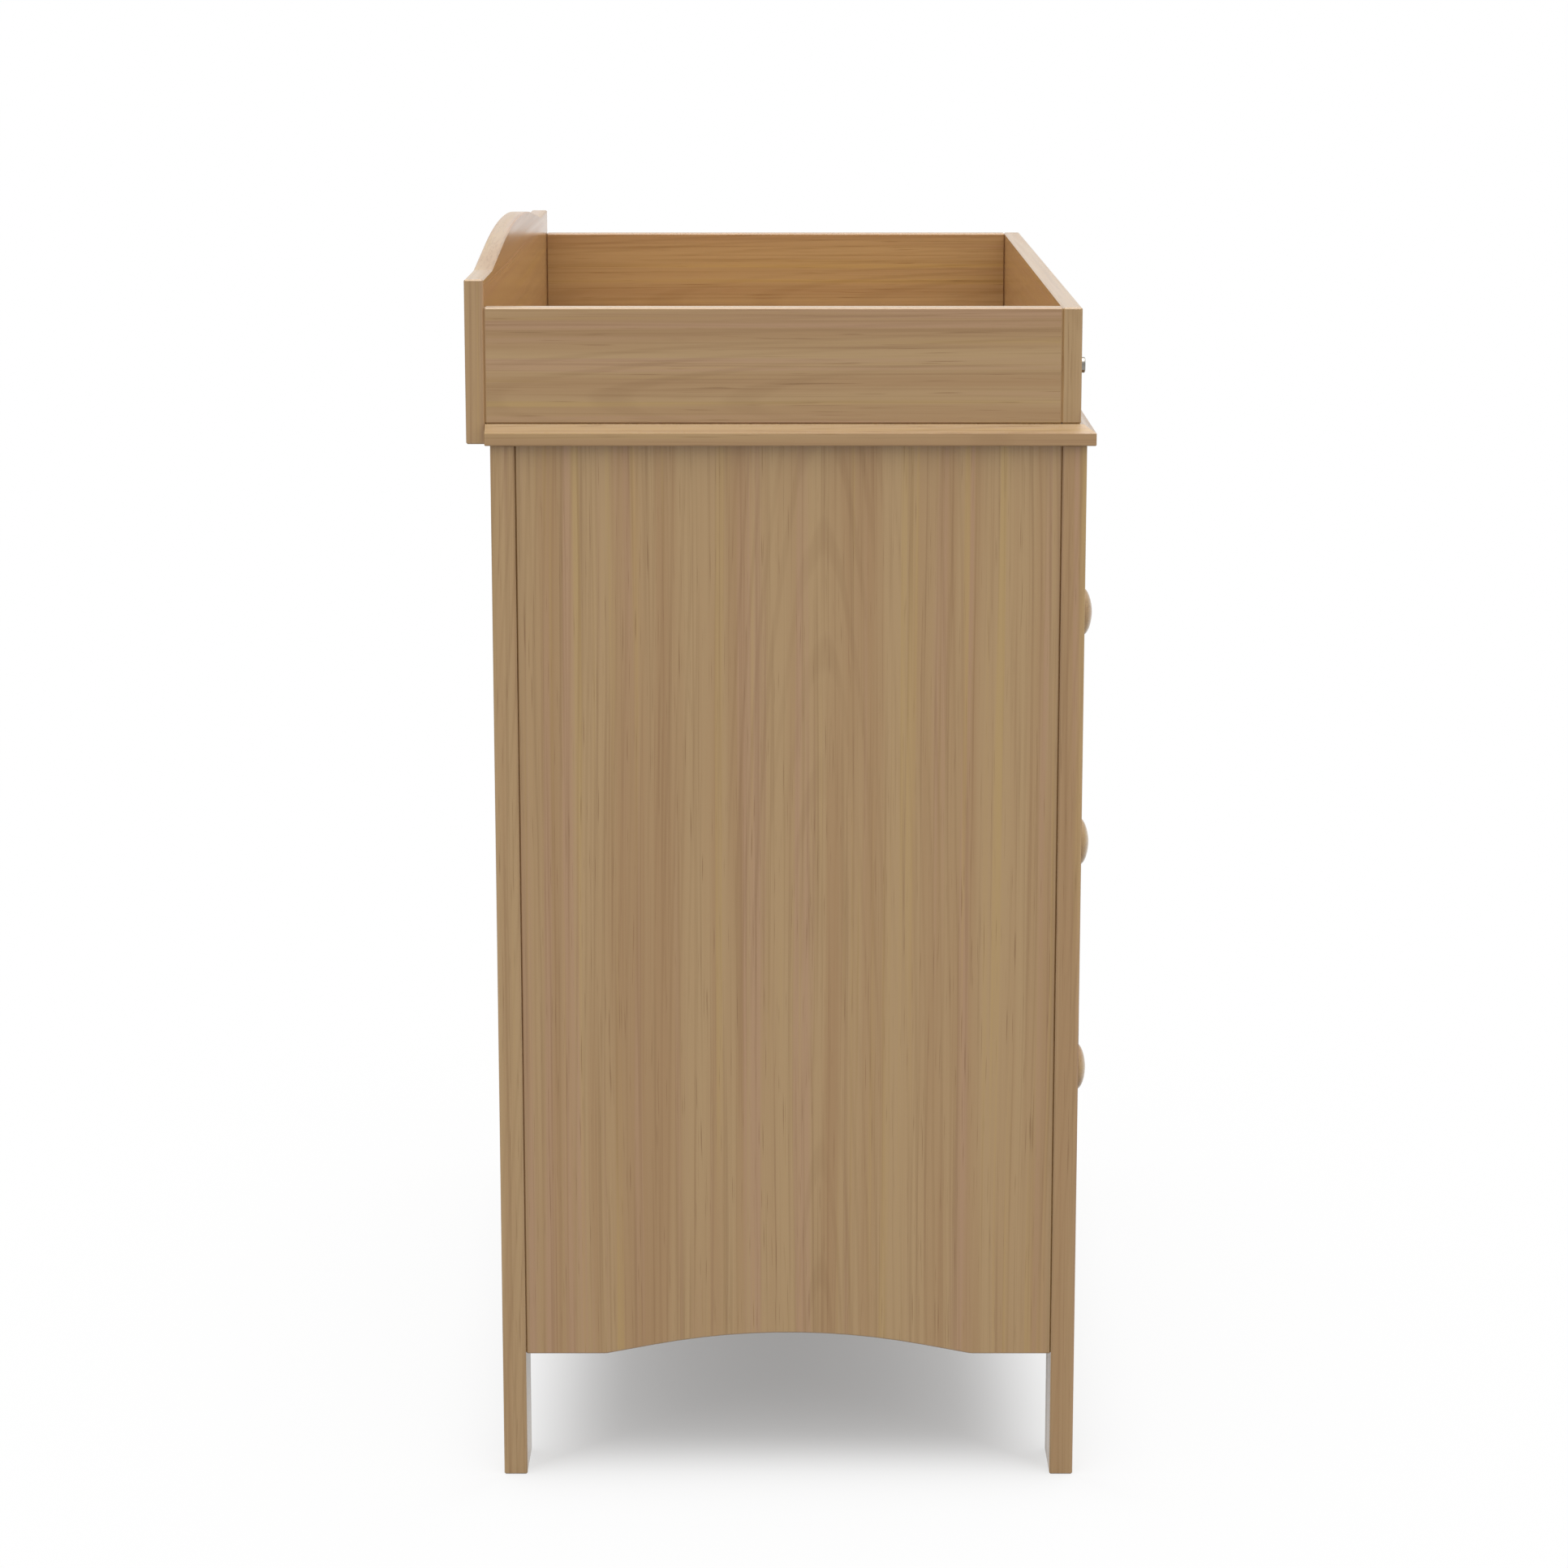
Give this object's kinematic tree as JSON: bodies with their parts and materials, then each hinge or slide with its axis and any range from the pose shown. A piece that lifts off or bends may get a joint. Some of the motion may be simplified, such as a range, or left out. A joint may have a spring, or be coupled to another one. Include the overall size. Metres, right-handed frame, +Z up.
{
  "type": "changing dresser",
  "caption": "Wooden dresser with full-width drawers on roller runners, round knobs and arched lower edges, under a changing tray with a crowned backboard.",
  "frame": {"origin": "on the floor, under the middle of the bounding box", "axes": "+Z up; the drawers open along -Y; +X to the right seen from the front"},
  "size_m": [0.87, 0.537, 1.0584],
  "materials": {
    "lacquered_pine": "satin clear lacquer",
    "raw_pine": "thin clear sealer",
    "hardboard": "printed face, matt",
    "beech_dowel": "fluted, unfinished",
    "cam_zinc": "die-cast, dull",
    "zinc_plated_steel": "zinc plated, slightly dull",
    "nickel_plated_steel": "bright nickel",
    "white_nylon": "moulded, satin"
  },
  "bodies": {
    "carcass": {"top_panel": "lacquered_pine", "side_panel_left": "lacquered_pine", "side_panel_right": "lacquered_pine", "leg_front_left": "lacquered_pine", "leg_front_right": "lacquered_pine", "leg_rear_left": "lacquered_pine", "leg_rear_right": "lacquered_pine", "front_top_rail": "lacquered_pine", "front_apron": "lacquered_pine", "rear_top_rail": "lacquered_pine", "rear_bottom_rail": "lacquered_pine", "topper_backboard": "lacquered_pine", "topper_front_rail": "lacquered_pine", "topper_end_left": "lacquered_pine", "topper_end_right": "lacquered_pine", "runner_cleats_left": "raw_pine", "runner_cleats_right": "raw_pine", "back_panel": "hardboard", "cam_locks": "cam_zinc", "cam_bolts": "zinc_plated_steel", "topper_inserts": "zinc_plated_steel", "backboard_screws": "zinc_plated_steel", "cabinet_runners_bottom": "zinc_plated_steel", "cabinet_runners_middle": "zinc_plated_steel", "cabinet_runners_top": "zinc_plated_steel", "dowels": "beech_dowel", "topper_bolts": "nickel_plated_steel"},
    "drawer_bottom": {"drawer_bottom_front": "lacquered_pine", "drawer_bottom_side_left": "raw_pine", "drawer_bottom_side_right": "raw_pine", "drawer_bottom_back": "raw_pine", "drawer_bottom_bottom": "hardboard", "drawer_bottom_knobs": "lacquered_pine", "drawer_bottom_runners": "zinc_plated_steel", "drawer_bottom_fixings": "zinc_plated_steel"},
    "cabinet_rollers_bottom": {"cabinet_rollers_bottom": "white_nylon"},
    "drawer_bottom_rollers": {"drawer_bottom_rollers": "white_nylon"},
    "drawer_middle": {"drawer_middle_front": "lacquered_pine", "drawer_middle_side_left": "raw_pine", "drawer_middle_side_right": "raw_pine", "drawer_middle_back": "raw_pine", "drawer_middle_bottom": "hardboard", "drawer_middle_knobs": "lacquered_pine", "drawer_middle_runners": "zinc_plated_steel", "drawer_middle_fixings": "zinc_plated_steel"},
    "cabinet_rollers_middle": {"cabinet_rollers_middle": "white_nylon"},
    "drawer_middle_rollers": {"drawer_middle_rollers": "white_nylon"},
    "drawer_top": {"drawer_top_front": "lacquered_pine", "drawer_top_side_left": "raw_pine", "drawer_top_side_right": "raw_pine", "drawer_top_back": "raw_pine", "drawer_top_bottom": "hardboard", "drawer_top_knobs": "lacquered_pine", "drawer_top_runners": "zinc_plated_steel", "drawer_top_fixings": "zinc_plated_steel"},
    "cabinet_rollers_top": {"cabinet_rollers_top": "white_nylon"},
    "drawer_top_rollers": {"drawer_top_rollers": "white_nylon"}
  },
  "joints": [
    {"name": "drawer_bottom_slide", "type": "slide", "parent": "carcass", "child": "drawer_bottom", "axis": [0, -1, 0], "range_m": [0, 0.3]},
    {"name": "cabinet_rollers_bottom_spin", "type": "hinge", "parent": "carcass", "child": "cabinet_rollers_bottom", "pos_m": [0, -0.2095, 0.2328], "axis": [1, 0, 0], "continuous": true},
    {"name": "drawer_bottom_rollers_spin", "type": "hinge", "parent": "drawer_bottom", "child": "drawer_bottom_rollers", "pos_m": [0, 0.1625, 0.2328], "axis": [1, 0, 0], "continuous": true},
    {"name": "drawer_middle_slide", "type": "slide", "parent": "carcass", "child": "drawer_middle", "axis": [0, -1, 0], "range_m": [0, 0.3]},
    {"name": "cabinet_rollers_middle_spin", "type": "hinge", "parent": "carcass", "child": "cabinet_rollers_middle", "pos_m": [0, -0.2095, 0.4428], "axis": [1, 0, 0], "continuous": true},
    {"name": "drawer_middle_rollers_spin", "type": "hinge", "parent": "drawer_middle", "child": "drawer_middle_rollers", "pos_m": [0, 0.1625, 0.4428], "axis": [1, 0, 0], "continuous": true},
    {"name": "drawer_top_slide", "type": "slide", "parent": "carcass", "child": "drawer_top", "axis": [0, -1, 0], "range_m": [0, 0.3]},
    {"name": "cabinet_rollers_top_spin", "type": "hinge", "parent": "carcass", "child": "cabinet_rollers_top", "pos_m": [0, -0.2095, 0.6528], "axis": [1, 0, 0], "continuous": true},
    {"name": "drawer_top_rollers_spin", "type": "hinge", "parent": "drawer_top", "child": "drawer_top_rollers", "pos_m": [0, 0.1625, 0.6528], "axis": [1, 0, 0], "continuous": true}
  ],
  "couplings": [
    {"joint": "cabinet_rollers_bottom_spin", "follows": "drawer_bottom_slide", "rad_per_m": 117.65},
    {"joint": "drawer_bottom_rollers_spin", "follows": "drawer_bottom_slide", "rad_per_m": 117.65},
    {"joint": "cabinet_rollers_middle_spin", "follows": "drawer_middle_slide", "rad_per_m": 117.65},
    {"joint": "drawer_middle_rollers_spin", "follows": "drawer_middle_slide", "rad_per_m": 117.65},
    {"joint": "cabinet_rollers_top_spin", "follows": "drawer_top_slide", "rad_per_m": 117.65},
    {"joint": "drawer_top_rollers_spin", "follows": "drawer_top_slide", "rad_per_m": 117.65}
  ]
}
